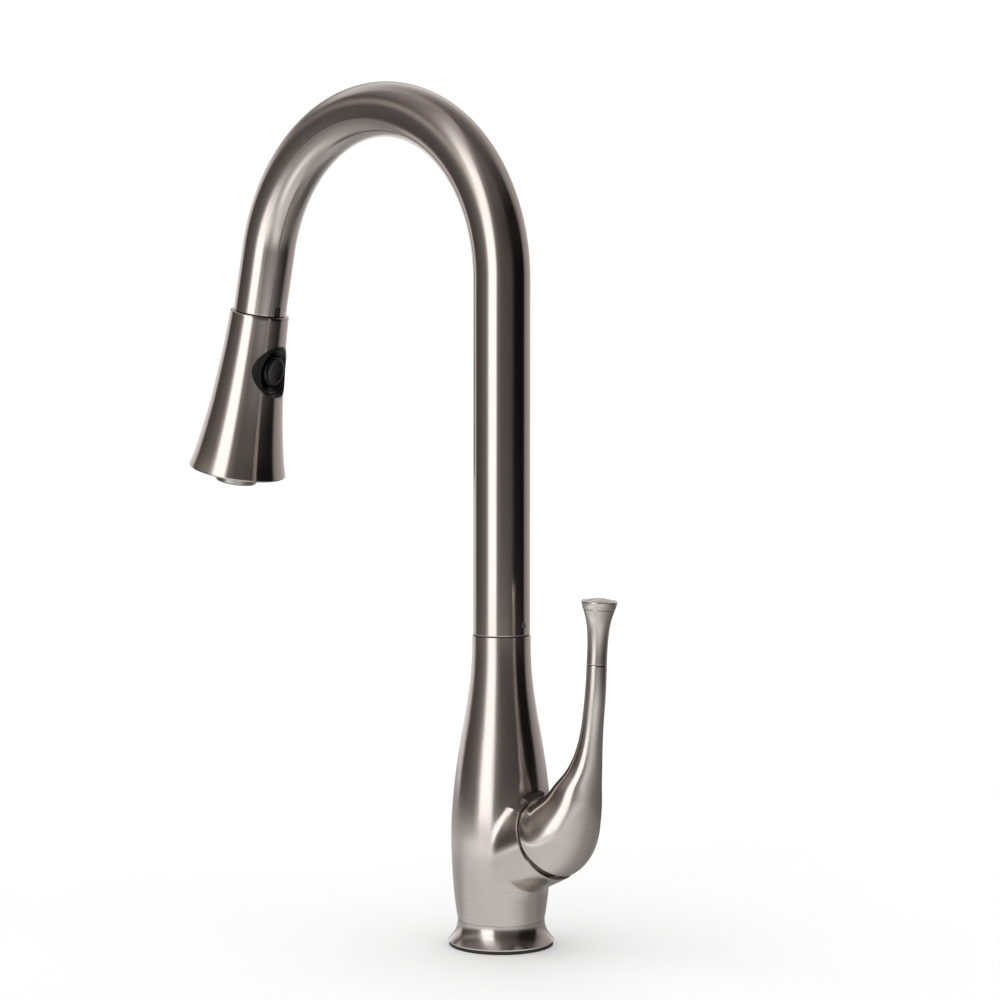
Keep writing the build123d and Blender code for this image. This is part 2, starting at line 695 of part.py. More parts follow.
# ---------------------------------------------------------------- build
PARTS = [
    deck_gasket, base_flange, faucet_body,
    cartridge_body, port_seals, fixed_disc, moving_disc, disc_driver, cartridge_carrier, pivot_pin,
    retaining_nut, cartridge_bonnet,
    control_stem, handle_lever, handle_set_screw, handle_knob, knob_stud, knob_cap,
    spout_tube, spout_set_screw, dock_insert, spout_adapter, spout_o_rings, glide_ring,
    hose_lower, hose_tail_fitting, hose_upper, hose_pull_section, hose_ferrule, hose_end_fitting,
    head_shell, head_core, neck_washer, swivel_seal, retaining_clip, check_valve,
    button_bezel, mode_button, diverter_spool, button_spring,
    spray_face, spray_nozzles, aerator_housing, aerator_insert, aerator_washer,
]


def main():
    os.makedirs("parts", exist_ok=True)
    for make in PARTS:
        export_step(make(), f"parts/{make.__name__}.step")


main()
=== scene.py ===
"""Pull-down kitchen faucet in brushed nickel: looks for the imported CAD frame.

Metres, +Z up, in the CAD's frame: the column's axis is Z, the spout reaches towards -X and the
lever stands on the +X side. Sizes named below are millimetres. Tube, spray head, lever, knob and the
sliding hose are rebuilt as quad skins that know which way they are brushed; body and flange keep
their CAD mesh with a brushing map, and everything else keeps its CAD mesh as it is.
"""

import json
from math import atan2, cos, hypot, pi, radians, sin, sqrt, tau

import bmesh
import bpy
import numpy as np
from mathutils import Matrix, Vector


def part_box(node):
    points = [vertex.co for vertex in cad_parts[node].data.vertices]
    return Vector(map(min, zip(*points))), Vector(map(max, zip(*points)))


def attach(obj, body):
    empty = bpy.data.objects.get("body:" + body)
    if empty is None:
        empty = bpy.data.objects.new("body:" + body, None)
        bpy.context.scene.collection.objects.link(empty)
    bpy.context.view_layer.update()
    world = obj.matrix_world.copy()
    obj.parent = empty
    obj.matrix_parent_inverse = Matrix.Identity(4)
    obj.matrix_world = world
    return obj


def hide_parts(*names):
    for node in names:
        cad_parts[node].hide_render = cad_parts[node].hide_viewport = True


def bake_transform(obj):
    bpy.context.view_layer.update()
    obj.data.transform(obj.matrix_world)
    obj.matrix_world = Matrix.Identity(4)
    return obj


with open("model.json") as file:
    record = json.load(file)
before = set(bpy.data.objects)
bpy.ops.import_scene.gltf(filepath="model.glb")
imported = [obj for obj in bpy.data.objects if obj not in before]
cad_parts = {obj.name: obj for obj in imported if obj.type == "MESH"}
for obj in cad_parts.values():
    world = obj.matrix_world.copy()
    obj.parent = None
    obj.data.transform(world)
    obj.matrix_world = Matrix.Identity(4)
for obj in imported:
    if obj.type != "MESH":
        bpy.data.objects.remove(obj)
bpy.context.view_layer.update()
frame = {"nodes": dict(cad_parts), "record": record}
MM = 0.001
BRUSH = "brush"         # UV map, in metres: u runs with the brushing, v across it


# ---------------------------------------------------------------- frames of the CAD
TUBE_R = 14.0
TUBE_WALL = 1.2
TUBE_FOOT_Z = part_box("spout_tube")[0].z / MM
RISER_TOP_Z = 322.5
ARC_R = 86.4
SWEEP = radians(167.5)
WAND = 34.3             # straight part of the tube after the arc
HEAD_TURN = radians(12)     # the docked head is turned a little about its own axis
BARREL_Z = 39.6
BARREL_TILT = 25.8      # degrees above the deck
PIVOT_S = 38.6          # lever's pivot, along the barrel
KNOB_FOOT = (62.3, 141.4)
KNOB_LEAN = 3.1         # degrees off upright, away from the column


def frame_matrix(origin, x_axis, z_axis):
    """Matrix of a local frame whose x and z axes are given; origin in millimetres."""
    x, z = Vector(x_axis).normalized(), Vector(z_axis).normalized()
    y = z.cross(x)
    turn = Matrix((x, y, z)).transposed().to_4x4()
    return Matrix.Translation(Vector(origin)) @ turn


def spout_frame(s):
    """Frame of the spout's centreline at the length s from the tube's foot: z runs with the water."""
    riser, bend = RISER_TOP_Z - TUBE_FOOT_Z, ARC_R * SWEEP
    if s <= riser:
        return frame_matrix((0, 0, TUBE_FOOT_Z + s), (1, 0, 0), (0, 0, 1))
    a = min(s - riser, bend) / ARC_R
    past = max(s - riser - bend, 0.0)
    along = Vector((-sin(a), 0, cos(a)))
    place = Vector((-ARC_R + ARC_R * cos(a), 0, RISER_TOP_Z + ARC_R * sin(a))) + along * past
    return frame_matrix(place, (cos(a), 0, sin(a)), along)


SPOUT_LENGTH = RISER_TOP_Z - TUBE_FOOT_Z + ARC_R * SWEEP + WAND
MOUTH = spout_frame(SPOUT_LENGTH)
OUTLET = frame_matrix(MOUTH.translation, -MOUTH.col[0].xyz, -MOUTH.col[2].xyz)
HEAD = OUTLET @ Matrix.Rotation(HEAD_TURN, 4, "Z")


def slope(degrees):
    """Direction in the plane of symmetry that rises from +X by this many degrees."""
    a = radians(degrees)
    return (cos(a), 0, sin(a))


BARREL = frame_matrix((0, 0, BARREL_Z), slope(BARREL_TILT + 90), slope(BARREL_TILT))
KNOB = frame_matrix((KNOB_FOOT[0], 0, KNOB_FOOT[1]), slope(-KNOB_LEAN), slope(90 - KNOB_LEAN))


def along_x(place):
    """The frame turned so that its z axis is where its x axis was."""
    return place @ Matrix.Rotation(pi / 2, 4, "Y")


# ---------------------------------------------------------------- mesh helpers
def smooth_line(points, steps):
    """Natural cubic spline through the points, by chord length, with steps pieces per span."""
    p = np.array(points, float)
    t = np.concatenate([[0], np.cumsum(np.linalg.norm(np.diff(p, axis=0), axis=1))])
    n, h = len(p), np.diff(t)
    system, right = np.eye(n), np.zeros_like(p)
    for i in range(1, n - 1):
        system[i, i - 1:i + 2] = h[i - 1], 2 * (h[i - 1] + h[i]), h[i]
        right[i] = 6 * ((p[i + 1] - p[i]) / h[i] - (p[i] - p[i - 1]) / h[i - 1])
    m = np.linalg.solve(system, right)
    line = []
    for i in range(n - 1):
        for k in range(steps):
            b = k / steps
            a = 1 - b
            bow = ((a**3 - a) * m[i] + (b**3 - b) * m[i + 1]) * h[i] ** 2 / 6
            line.append(a * p[i] + b * p[i + 1] + bow)
    return [tuple(q) for q in line] + [tuple(p[-1])]


def arc_corner(before, corner, after, radius, steps=4):
    """The corner of an outline rounded off, with a supporting point on each side."""
    c = Vector(corner)
    a, b = (Vector(before) - c).normalized(), (Vector(after) - c).normalized()
    line = [c + a * radius * 2.2]
    for k in range(steps + 1):
        t = k / steps
        line.append(c + a * radius * (1 - t) ** 2 + b * radius * t**2)
    return [tuple(q) for q in line + [c + b * radius * 2.2]]


def make_mesh(name, rings, closed):
    """Quad skin through rings of millimetre points; closed joins the last ring to the first."""
    count, sides = len(rings), len(rings[0])
    verts = [Vector(p) * MM for ring in rings for p in ring]
    last = count if closed else count - 1
    faces, uvs = [], []
    round_length = sum((Vector(rings[0][k]) - Vector(rings[0][k - 1])).length for k in range(sides)) * MM
    run = [0.0]
    for i in range(1, count + 1):
        run.append(run[-1] + (Vector(rings[i % count][0]) - Vector(rings[i - 1][0])).length * MM)
    for i in range(last):
        j = (i + 1) % count
        for k in range(sides):
            m = (k + 1) % sides
            faces.append((i * sides + k, i * sides + m, j * sides + m, j * sides + k))
            u0, u1 = k / sides * round_length, (k + 1) / sides * round_length
            uvs += [(u0, run[i]), (u1, run[i]), (u1, run[i + 1]), (u0, run[i + 1])]
    if not closed:
        for ring, flip in ((0, True), (count - 1, False)):
            cap = [ring * sides + k for k in range(sides)]
            faces.append(tuple(reversed(cap)) if flip else tuple(cap))
            uvs += [(rings[ring][k][0] * MM, rings[ring][k][1] * MM) for k in range(sides)]
    mesh = bpy.data.meshes.new(name)
    mesh.from_pydata(verts, [], faces)
    layer = mesh.uv_layers.new(name=BRUSH)
    layer.data.foreach_set("uv", np.array(uvs, np.float32).ravel())
    mesh.validate()
    mesh.shade_smooth()
    return mesh


def add_object(name, mesh):
    obj = bpy.data.objects.new(name, mesh)
    bpy.context.scene.collection.objects.link(obj)
    return obj


def circle(place, r, z, sides):
    """Ring of points about a frame's z axis."""
    return [place @ Vector((r * cos(tau * k / sides), r * sin(tau * k / sides), z)) for k in range(sides)]


def turned(name, place, outline, sides):
    """Lathe work: a closed (r, z) outline turned about a frame's z axis."""
    rings = [circle(place, r, z, sides) for r, z in outline]
    return outward(add_object(name, make_mesh(name, rings, True)))


def outward(obj):
    """Turns every face outwards."""
    mesh = obj.data
    work = bmesh.new()
    work.from_mesh(mesh)
    bmesh.ops.recalc_face_normals(work, faces=work.faces)
    work.to_mesh(mesh)
    work.free()
    return obj


def freeze(obj):
    """Applies the modifiers to the mesh."""
    bpy.context.view_layer.update()
    solved = bpy.data.meshes.new_from_object(obj.evaluated_get(bpy.context.evaluated_depsgraph_get()))
    obj.modifiers.clear()
    obj.data = solved


def cut(obj, *cutters):
    """Takes the cutters out of the mesh for good."""
    for tool in cutters:
        step = obj.modifiers.new("cut", "BOOLEAN")
        step.operation, step.solver, step.object = "DIFFERENCE", "EXACT", tool
        freeze(obj)
        bpy.data.objects.remove(tool)


def crisp(obj, degrees=32):
    """Marks edges sharper than this many degrees as hard."""
    obj.data.shade_smooth()
    obj.data.set_sharp_from_angle(angle=radians(degrees))


def cutter(rings):
    """Closed solid through the rings, for cutting."""
    return outward(add_object("cutter", make_mesh("cutter", rings, False)))


def pin_cutter(place, r, low, high, sides):
    """Cylinder along a frame's z axis."""
    return cutter([circle(place, r, z, sides) for z in (low, high)])


def block_cutter(place, low, high):
    """Block between two corners of a frame."""
    (x0, y0, z0), (x1, y1, z1) = low, high
    corners = ((x0, y0), (x1, y0), (x1, y1), (x0, y1))
    return cutter([[place @ Vector((x, y, z)) for x, y in corners] for z in (z0, z1)])


def ball_cutter(centre, r, sides=96, steps=64):
    angles = [pi * i / steps for i in range(1, steps)]
    return cutter([circle(Matrix.Translation(centre), r * sin(a), -r * cos(a), sides) for a in angles])


def finish_piece(obj, node):
    """Gives a rebuilt piece its CAD node's material, and its place in the frame."""
    obj.data.materials.clear()
    obj.data.materials.append(MATERIALS[SLOT_OF[node]])
    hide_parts(node)
    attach(obj, BODY_OF[node])
    return obj


BODY_OF = {n: body for body, nodes in frame["record"]["behaviour"]["bodies"].items() for n in nodes}
SLOT_OF = {n: obj.material_slots[0].material.name for n, obj in frame["nodes"].items()}


# ---------------------------------------------------------------- materials
def fill_ramp(elements, stops):
    """Sets a colour ramp to (position, colour) stops, which run from left to right."""
    elements[0].position, elements[0].color = stops[0]
    elements[1].position, elements[1].color = stops[-1]
    for position, colour in stops[1:-1]:
        elements.new(position).color = colour


class Nodes:
    """Short-hand for building a node tree."""

    def __init__(self, name):
        self.material = bpy.data.materials.new(name)
        self.material.use_nodes = True
        self.tree = self.material.node_tree
        self.shader = self.tree.nodes["Principled BSDF"]

    def add(self, kind, **values):
        node = self.tree.nodes.new(kind)
        for key, value in values.items():
            setattr(node, key, value)
        return node

    def link(self, source, target):
        self.tree.links.new(source, target)

    def set(self, **values):
        for key, value in values.items():
            self.shader.inputs[key.replace("_", " ")].default_value = value

    def scaled(self, coordinate, scale):
        """Texture coordinates stretched by scale."""
        if coordinate == BRUSH:
            source = self.add("ShaderNodeUVMap", uv_map=BRUSH).outputs["UV"]
        else:
            source = self.add("ShaderNodeTexCoord").outputs[coordinate]
        mapping = self.add("ShaderNodeMapping")
        mapping.inputs["Scale"].default_value = scale
        self.link(source, mapping.inputs["Vector"])
        return mapping.outputs["Vector"]

    def noise(self, vector, detail=2.0, roughness=0.5):
        node = self.add("ShaderNodeTexNoise")
        node.inputs["Scale"].default_value = 1.0
        node.inputs["Detail"].default_value = detail
        node.inputs["Roughness"].default_value = roughness
        self.link(vector, node.inputs["Vector"])
        return node.outputs["Fac"]

    def ramp(self, source, *stops):
        """Colour ramp; each stop is (position, colour)."""
        node = self.add("ShaderNodeValToRGB")
        fill_ramp(node.color_ramp.elements, stops)
        self.link(source, node.inputs["Fac"])
        return node.outputs["Color"]

    def span(self, source, low, high):
        """The 0 to 1 source spread between low and high."""
        node = self.add("ShaderNodeMapRange")
        node.inputs["To Min"].default_value, node.inputs["To Max"].default_value = low, high
        self.link(source, node.inputs["Value"])
        return node.outputs["Result"]

    def bump(self, height, distance, strength):
        node = self.add("ShaderNodeBump")
        node.inputs["Distance"].default_value, node.inputs["Strength"].default_value = distance, strength
        self.link(height, node.inputs["Height"])
        self.link(node.outputs["Normal"], self.shader.inputs["Normal"])


def grey(value, warmth=0.0):
    return (value * (1 + warmth), value, value * (1 - warmth), 1.0)


def eased_tangent(n):
    """Brushing round the column that turns gradually to go round the valve barrel."""
    start, end = 0.008, 0.036       # metres along the barrel
    place = n.add("ShaderNodeTexCoord")
    along = n.add("ShaderNodeVectorMath", operation="DOT_PRODUCT")
    n.link(place.outputs["Object"], along.inputs[0])
    along.inputs[1].default_value = BARREL.col[2].xyz
    share = n.add("ShaderNodeMapRange", interpolation_type="SMOOTHSTEP")
    foot = (BARREL.translation @ BARREL.col[2].xyz) * MM
    share.inputs["From Min"].default_value = foot + start
    share.inputs["From Max"].default_value = foot + end
    n.link(along.outputs["Value"], share.inputs["Value"])
    axis = n.add("ShaderNodeMix", data_type="VECTOR")
    axis.inputs[4].default_value, axis.inputs[5].default_value = (0, 0, 1), BARREL.col[2].xyz
    n.link(share.outputs["Result"], axis.inputs["Factor"])
    surface = n.add("ShaderNodeNewGeometry")
    tangent = n.add("ShaderNodeVectorMath", operation="CROSS_PRODUCT")
    n.link(axis.outputs[1], tangent.inputs[0])
    n.link(surface.outputs["Normal"], tangent.inputs[1])
    return tangent.outputs["Vector"]


def brushed_metal(name, colour, roughness=0.15, anisotropy=0.8, eased=False):
    """Satin metal brushed along the UV map's u: fine streaks in tint, gloss and relief."""
    n = Nodes(name)
    n.set(Metallic=1.0, Anisotropic=anisotropy, Anisotropic_Rotation=0.25)
    if eased:
        n.link(eased_tangent(n), n.shader.inputs["Tangent"])
    else:
        tangent = n.add("ShaderNodeTangent", direction_type="UV_MAP", uv_map=BRUSH)
        n.link(tangent.outputs["Tangent"], n.shader.inputs["Tangent"])
    streaks = n.noise(n.scaled(BRUSH, (45.0, 3200.0, 1.0)), detail=3.0, roughness=0.65)
    patches = n.noise(n.scaled("Object", (38.0, 38.0, 38.0)), detail=2.0)
    r, g, b = colour
    dark = (r * 0.93, g * 0.925, b * 0.92, 1.0)
    light = (r * 1.05, g * 1.05, b * 1.05, 1.0)
    n.link(n.ramp(streaks, (0.3, dark), (0.7, light)), n.shader.inputs["Base Color"])
    mixed = n.add("ShaderNodeMath", operation="MULTIPLY_ADD")
    n.link(streaks, mixed.inputs[0])
    mixed.inputs[1].default_value = 0.5
    n.link(n.span(patches, 0.0, 0.5), mixed.inputs[2])
    n.link(n.span(mixed.outputs[0], roughness - 0.015, roughness + 0.03), n.shader.inputs["Roughness"])
    n.bump(streaks, 0.0000006, 0.3)
    return n.material


def turned_metal(name, colour, roughness):
    """Machined or cast metal without a brushing direction."""
    n = Nodes(name)
    n.set(Metallic=1.0)
    grain = n.noise(n.scaled("Object", (900.0, 900.0, 900.0)), detail=3.0)
    r, g, b = colour
    tones = n.ramp(grain, (0.35, (r * 0.9, g * 0.9, b * 0.9, 1)), (0.65, (r, g, b, 1)))
    n.link(tones, n.shader.inputs["Base Color"])
    n.link(n.span(grain, roughness - 0.05, roughness + 0.07), n.shader.inputs["Roughness"])
    n.bump(grain, 0.00001, 0.5)
    return n.material


def moulded(name, value, warmth, roughness, texture=0.00002, coat=0.0, gloss=0.5):
    """Moulded plastic, ceramic or rubber with a fine eroded texture of this depth in metres."""
    n = Nodes(name)
    n.set(Coat_Weight=coat, Specular_IOR_Level=gloss)
    grain = n.noise(n.scaled("Object", (1400.0, 1400.0, 1400.0)), detail=2.0)
    cloud = n.noise(n.scaled("Object", (60.0, 60.0, 60.0)), detail=2.0)
    n.link(n.ramp(cloud, (0.3, grey(value * 0.85, warmth)), (0.7, grey(value * 1.12, warmth))),
           n.shader.inputs["Base Color"])
    n.link(n.span(grain, roughness - 0.06, roughness + 0.08), n.shader.inputs["Roughness"])
    n.bump(grain, texture, 0.7)
    return n.material


def braided_hose(name):
    """Nylon braid: two crossing sets of strands wound about the hose, in object space."""
    strands = 2600.0        # radians of the weave's wave for each metre
    n = Nodes(name)
    n.set(Sheen_Weight=0.2)
    local = n.add("ShaderNodeTexCoord")
    split = n.add("ShaderNodeSeparateXYZ")
    n.link(local.outputs["Object"], split.inputs[0])
    heights = []
    for sign in (1.0, -1.0):
        across = n.add("ShaderNodeMath", operation="MULTIPLY_ADD")
        n.link(split.outputs["Y"], across.inputs[0])
        across.inputs[1].default_value = sign * strands
        rise = n.add("ShaderNodeMath", operation="MULTIPLY")
        n.link(split.outputs["Z"], rise.inputs[0])
        rise.inputs[1].default_value = strands
        n.link(rise.outputs[0], across.inputs[2])
        wave = n.add("ShaderNodeMath", operation="SINE")
        n.link(across.outputs[0], wave.inputs[0])
        heights.append(wave.outputs[0])
    weave = n.add("ShaderNodeMath", operation="MULTIPLY")
    n.link(heights[0], weave.inputs[0])
    n.link(heights[1], weave.inputs[1])
    level = n.add("ShaderNodeMapRange")
    level.inputs["From Min"].default_value = -1.0
    n.link(weave.outputs[0], level.inputs["Value"])
    tones = n.ramp(level.outputs["Result"], (0.25, grey(0.03)), (0.75, grey(0.16)))
    n.link(tones, n.shader.inputs["Base Color"])
    n.link(n.span(level.outputs["Result"], 0.55, 0.38), n.shader.inputs["Roughness"])
    n.bump(level.outputs["Result"], 0.00012, 0.8)
    return n.material


NICKEL = (0.585, 0.54, 0.505)
MATERIALS = {
    "brushed_nickel": brushed_metal("brushed_nickel", NICKEL),
    "nickel_knob": brushed_metal("nickel_knob", NICKEL, 0.2, 0.6),
    # the bonnet's own metal tone, darkened as painted shade for the shadow in the gap under the lever's
    # skirt
    "bonnet_metal": turned_metal("bonnet_metal", (0.4, 0.385, 0.365), 0.2),
    "black_rubber": moulded("black_rubber", 0.012, 0.0, 0.62, 0.00003),
    "seal_rubber": moulded("seal_rubber", 0.014, 0.0, 0.55),
    "black_plastic": moulded("black_plastic", 0.006, 0.0, 0.26, 0.000004),
    "button_plastic": moulded("button_plastic", 0.003, 0.0, 0.2, 0.000003, gloss=0.35),
    "black_acetal": moulded("black_acetal", 0.016, 0.0, 0.4),
    "white_acetal": moulded("white_acetal", 0.68, 0.02, 0.38),
    "cartridge_plastic": moulded("cartridge_plastic", 0.42, 0.03, 0.42),
    "ceramic": moulded("ceramic", 0.74, 0.01, 0.14, 0.000004, coat=0.3),
    "brass": turned_metal("brass", (0.78, 0.58, 0.3), 0.24),
    "steel": turned_metal("steel", (0.6, 0.6, 0.6), 0.22),
    "hose_braid": braided_hose("hose_braid"),
    "grey_face": moulded("grey_face", 0.09, 0.02, 0.42),
    "nozzle_rubber": moulded("nozzle_rubber", 0.13, 0.01, 0.55),
    "satin_silver": turned_metal("satin_silver", (0.5, 0.48, 0.46), 0.3),
}


def dress_cad_nodes():
    """Every CAD node that stays takes the procedural material of its slot."""
    for node, obj in frame["nodes"].items():
        for place in obj.material_slots:
            place.material = MATERIALS[SLOT_OF[node]]


# ---------------------------------------------------------------- shells
STREAK_R = 20.0         # radius at which the streaks of body and flange have their true length


def brushed_copy(node, coordinates):
    """A CAD node's mesh with a brushing map: coordinates turns a millimetre point into (angle, v)."""
    source = frame["nodes"][node]
    mesh = source.data.copy()
    layer = mesh.uv_layers.new(name=BRUSH)
    points = [coordinates(v.co / MM) for v in mesh.vertices]
    uvs = []
    for face in mesh.polygons:
        angles = [points[v][0] for v in face.vertices]
        for v in face.vertices:
            angle, along = points[v]
            if max(angles) - min(angles) > pi and angle < 0:
                angle += tau
            uvs.append((angle * STREAK_R * MM, along * MM))
    layer.data.foreach_set("uv", np.array(uvs, np.float32).ravel())
    obj = add_object(node + "_shell", mesh)
    return finish_piece(obj, node)


def round_column(p):
    return atan2(p.y, p.x), p.z


def round_body(p):
    """Streaks of the body: round the column, and round the barrel where the barrel stands out."""
    q = BARREL.inverted() @ p
    past_column = q.z > 17.0 and hypot(p.x, p.y) > 24.6
    if past_column and hypot(q.x, q.y) > 12.0:
        return atan2(q.y, q.x), q.z
    return round_column(p)


TUBE_SIDES = 112
TUBE_EDGE = 0.35        # rounding of the tube's ends
NOTCH_HALF = 1.9        # half the width of the dock's notch
NOTCH_DEPTH = 4.0       # from the tube's end to the middle of the notch's round
SET_SCREW_Z = 156.0
SET_SCREW_R = 1.55
SET_SCREW_TURN = radians(5)
THROUGH_WALL = (8, 20)  # how far from the tube's axis a cutter starts and ends


def tube_wall():
    """Closed outline of the tube's wall: (radius, length along the centreline)."""
    foot, end = 0.05, SPOUT_LENGTH - 0.3
    lead = 9                # corners are rounded between straight stretches of about this length
    riser, bend = RISER_TOP_Z - TUBE_FOOT_Z, ARC_R * SWEEP
    stations = [k * riser / 40 for k in range(1, 40)]
    stations += [riser + k * bend / 150 for k in range(151)]
    stations += [riser + bend + k * WAND / 10 for k in range(1, 10)]
    bore_r = TUBE_R - TUBE_WALL
    wall = arc_corner((bore_r, foot), (TUBE_R, foot), (TUBE_R, lead), TUBE_EDGE)
    wall += [(TUBE_R, s) for s in stations]
    wall += arc_corner((TUBE_R, lead), (TUBE_R, end), (bore_r, end), TUBE_EDGE)
    wall += arc_corner((TUBE_R, end), (bore_r, end), (bore_r, lead), TUBE_EDGE / 2)
    wall += [(bore_r, s) for s in reversed(stations)]
    wall += arc_corner((bore_r, lead), (bore_r, foot), (TUBE_R, foot), TUBE_EDGE / 2)
    return wall


def spout_tube():
    """Gooseneck: one wall swept along riser, arc and wand, with the dock's notch in its end."""
    rings = [circle(spout_frame(s), r, 0, TUBE_SIDES) for r, s in tube_wall()]
    tube = outward(add_object("gooseneck", make_mesh("gooseneck", rings, True)))
    near, far = THROUGH_WALL
    slot = block_cutter(OUTLET, (near, -NOTCH_HALF, -1), (far, NOTCH_HALF, NOTCH_DEPTH))
    slot_end = along_x(OUTLET @ Matrix.Translation((0, 0, NOTCH_DEPTH)))
    screw = along_x(Matrix.Translation((0, 0, SET_SCREW_Z)) @ Matrix.Rotation(SET_SCREW_TURN, 4, "Z"))
    cut(tube, slot, pin_cutter(slot_end, NOTCH_HALF, near, far, 32),
        pin_cutter(screw, SET_SCREW_R, near, far, 32))
    crisp(tube)
    return finish_piece(tube, "spout_tube")


HEAD_CURVE = [(15.7, -0.4), (16.6, -18.0), (17.95, -34.5), (19.7, -51.0), (22.1, -67.0), (24.85, -81.0),
              (26.0, -85.4)]
HEAD_WALL = 1.5
BUTTON_T = 28.9
BEZEL_R = 13.9
BEZEL_LAP = 0.6         # the bezel covers the edge of its hole by this much


def head_shell():
    """Flared shell of the spray head, rolled in at both rims and cut out for the button's bezel."""
    outer = smooth_line(HEAD_CURVE, 14)
    inner = smooth_line([(r - HEAD_WALL, z) for r, z in [(15.7, -2.4)] + HEAD_CURVE[1:]], 8)
    lip = [(25.98, -85.7), (25.82, -86.0), (25.5, -86.18), (24.9, -86.2)]
    top = arc_corner((14.2, -2.2), (12.2, -2.2), (12.2, 0), 0.15)
    top += arc_corner((12.2, -2.2), (12.2, 0), (15.5, 0), 0.2)
    top += [(14.9, 0.0), (15.25, -0.02), (15.5, -0.12), (15.64, -0.25)]
    outline = outer + lip + list(reversed(inner)) + top
    shell = turned("head_body", HEAD, outline, 144)
    button = along_x(HEAD @ Matrix.Translation((0, 0, -BUTTON_T)))
    cut(shell, pin_cutter(button, BEZEL_R - BEZEL_LAP, 13, 33, 96))
    crisp(shell)
    return finish_piece(shell, "head_shell")


def knob():
    """Flared knob: a hollow-sided stem, a fine groove and a rolled rim."""
    stem = smooth_line([(4.9, 0.3), (4.85, 6.0), (5.15, 14.0), (6.2, 21.5), (7.6, 26.0)], 8)
    rim = smooth_line([(7.7, 26.3), (8.25, 28.0), (8.58, 29.8)], 5)
    outline = arc_corner((2.1, 0.15), (4.9, 0.15), (4.9, 4), 0.2) + stem[1:]
    outline += [(6.9, 26.02), (6.9, 26.28)] + rim
    outline += [(8.52, 29.94), (8.4, 30.0), (7.95, 30.0), (7.9, 29.9), (7.9, 29.2), (2.1, 29.2), (2.1, 0.15)]
    obj = turned("knob_flare", KNOB, outline, 96)
    crisp(obj)
    return finish_piece(obj, "handle_knob")


def knob_cap():
    """Low dome that closes the knob."""
    sphere_r, top, seat, edge_r, steps = 19.0, 31.4, 29.3, 7.85, 17
    axis_r = 0.02           # a lathe's outline stays just off its axis

    def dome_z(r):
        return top - sphere_r + sqrt(sphere_r**2 - r**2)

    line = [(axis_r, top)]
    line += [(edge_r * k / steps, dome_z(edge_r * k / steps)) for k in range(1, steps)]
    line += arc_corner(line[-1], (edge_r, dome_z(edge_r)), (edge_r, seat), 0.12)
    line += [(edge_r, seat), (axis_r, seat)]
    obj = turned("knob_dome", KNOB, line, 96)
    crisp(obj)
    return finish_piece(obj, "knob_cap")


def pull_hose():
    """The stretch of hose that the pull-down draws out of the wand, finely ringed."""
    low, high = 26.0, WAND - 0.4
    outer_r, bore_r = 5.3, 3.4
    rings, bore_rings = 80, 20
    outline = [(outer_r, low + (high - low) * k / rings) for k in range(rings + 1)]
    outline += [(bore_r, low + (high - low) * k / bore_rings) for k in range(bore_rings, -1, -1)]
    obj = turned("hose_slide", HEAD, outline, 48)
    obj.data.materials.append(MATERIALS["hose_braid"])
    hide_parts("hose_pull_section")
    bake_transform(obj)
    return obj


# ---------------------------------------------------------------- lever
SKIRT_R = 19.75
SKIRT_INNER_R = 18.1
SKIRT_RIM_S = 35.35
CLAMP_SCREW_S = 54.5    # the screw on the lever's far side, along the barrel
CLAMP_SCREW_R = 2.1
LEVER_EDGE = 0.22
FAN = (18.0, 82.8)      # the sections of the lever's blank fan out about this line
FAN_SECTIONS = ((-48.0, 12.6, 50.3), (-37.0, 13.7, 48.3), (-25.0, 15.3, 45.7), (-12.0, 18.0, 44.2),
                (0.0, 21.0, 43.8))
ARM_SECTIONS = ((53.6, 88.8, 9.1), (57.6, 100.6, 6.35), (59.9, 114.0, 5.2), (61.3, 126.0, 5.0),
                (62.0, 135.0, 4.9), (62.3, 141.3, 4.9))


def lever_sections():
    """Section circles (centre x, centre z, radius, lean in degrees) from the skirt's rim to the knob."""
    sections = []
    for s in (SKIRT_RIM_S, PIVOT_S - 1.6, PIVOT_S):
        p = BARREL @ Vector((0, 0, s))
        sections.append((p.x, p.z, sqrt(SKIRT_R**2 - (s - PIVOT_S) ** 2), BARREL_TILT - 90))
    for lean, inner, outer in FAN_SECTIONS:
        middle, a = (inner + outer) / 2, radians(lean)
        sections.append((FAN[0] + middle * cos(a), FAN[1] + middle * sin(a), (outer - inner) / 2, lean))
    sections += [(x, z, r, 0.0) for x, z, r in ARM_SECTIONS[:-1]]
    return sections + [(*ARM_SECTIONS[-1], -KNOB_LEAN)]


def lever():
    """Pear-shaped lever: the loft of its sections, hollowed over the bonnet and relieved below."""
    sides, steps = 128, 9
    turns = [tau * k / sides for k in range(sides)]
    sections = []
    for x, z, r, lean in lever_sections():
        a = radians(lean)
        sections.append([(x + r * cos(t) * cos(a), r * sin(t), z + r * cos(t) * sin(a)) for t in turns])
    tracks = [smooth_line([ring[k] for ring in sections], steps) for k in range(sides)]
    rings = [[track[i] for track in tracks] for i in range(len(tracks[0]))]
    obj = outward(add_object("lever", make_mesh("lever", rings, False)))
    screw = BARREL @ Matrix.Translation((0, -12, CLAMP_SCREW_S)) @ Matrix.Rotation(pi / 2, 4, "X")
    cut(obj, ball_cutter(BARREL @ Vector((0, 0, PIVOT_S)), SKIRT_INNER_R), relief_cutter(),
        pin_cutter(screw, CLAMP_SCREW_R, -10, 10, 40))
    sharp = 40
    soften = obj.modifiers.new("edge", "BEVEL")
    soften.width, soften.segments = LEVER_EDGE * MM, 3
    soften.limit_method, soften.angle_limit = "ANGLE", radians(sharp)
    freeze(obj)
    crisp(obj, sharp)
    return finish_piece(obj, "handle_lever")


